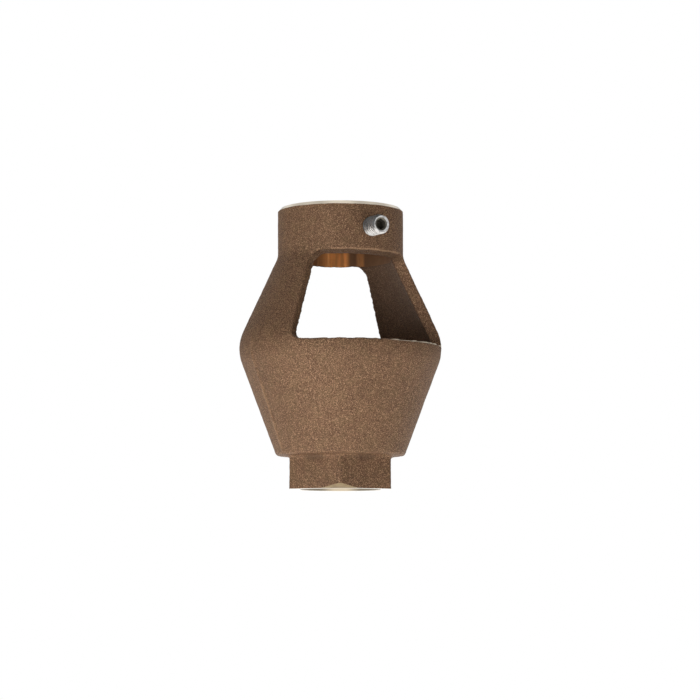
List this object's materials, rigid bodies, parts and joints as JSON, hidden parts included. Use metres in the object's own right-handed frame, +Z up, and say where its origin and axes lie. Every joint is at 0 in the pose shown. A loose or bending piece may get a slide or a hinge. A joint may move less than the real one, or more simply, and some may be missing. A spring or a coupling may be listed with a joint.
{
  "type": "air gap drain fitting",
  "caption": "Cast bronze air gap drain fitting: slip-on collar with set screws, open windows, a drain funnel and a wrench hex with a female pipe thread.",
  "frame": {"origin": "centre of the wrench hex's bottom face", "axes": "+Z up along the flow axis from the outlet to the collar, the windows and set screws face -Y and +Y, the struts stand on -X and +X"},
  "size_m": [0.0836, 0.0836, 0.1164],
  "materials": {
    "cast_bronze": "sand-cast bronze with a brown skin, and bare machined bands at the collar's rim and bore and at the outlet",
    "screw_steel": "plain steel"
  },
  "bodies": {
    "casting": {"cast_body": "cast_bronze"},
    "front_screw": {"front_set_screw": "screw_steel"},
    "rear_screw": {"rear_set_screw": "screw_steel"}
  },
  "joints": [
    {"name": "front_screw_travel", "type": "slide", "parent": "casting", "child": "front_screw", "axis": [0, 1, 0], "range_m": [-0.0025, 0.0065]},
    {"name": "rear_screw_travel", "type": "slide", "parent": "casting", "child": "rear_screw", "axis": [0, -1, 0], "range_m": [-0.0025, 0.0065]}
  ]
}
